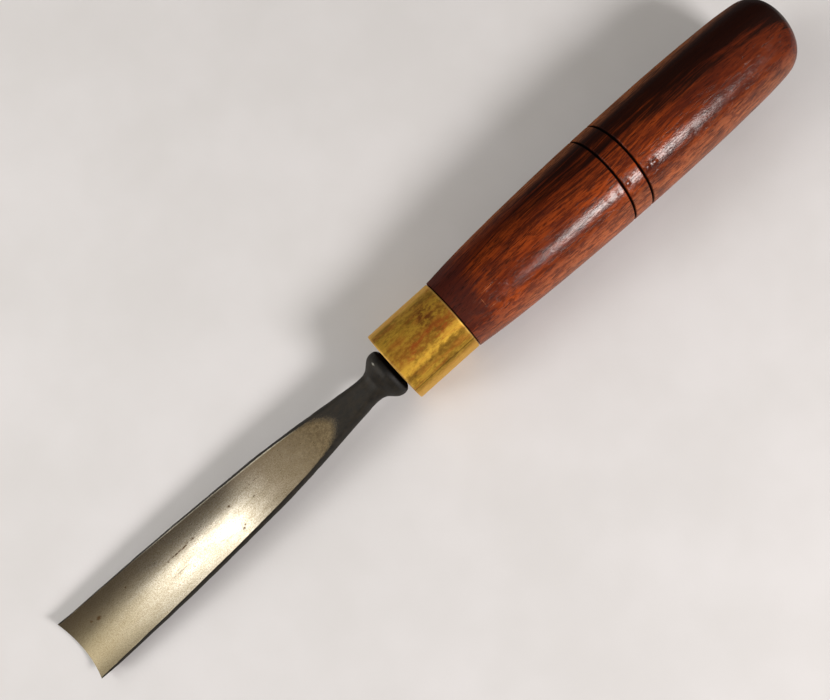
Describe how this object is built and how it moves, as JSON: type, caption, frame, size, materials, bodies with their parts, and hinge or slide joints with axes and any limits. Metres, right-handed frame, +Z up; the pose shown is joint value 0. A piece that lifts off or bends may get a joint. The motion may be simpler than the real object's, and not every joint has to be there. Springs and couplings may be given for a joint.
{
  "type": "carving gouge",
  "caption": "Straight wood-carving gouge: shallow hollow steel blade with a bell-shaped bolster, plain brass ferrule and a turned, grooved hardwood handle.",
  "frame": {"origin": "middle of the tool's footprint, on the bench that it lies on, channel upwards", "axes": "+X from the cutting edge towards the butt, along the bench; +Z up out of the channel; the handle's axis rises 2.3 degrees towards the butt"},
  "size_m": [0.2538, 0.0272, 0.0287],
  "materials": {
    "forged_steel": "old carbon steel, polished and browned in the channel, black forge scale on shank and bolster",
    "aged_brass": "aged brass tube, mottled brown tarnish with bright rubbed edges and fine scratches",
    "rosewood": "dark red-brown hardwood with black grain streaks under a glossy old finish, two burnt grooves"
  },
  "bodies": {
    "root": {"blade": "forged_steel", "ferrule": "aged_brass", "handle": "rosewood"}
  },
  "joints": []
}
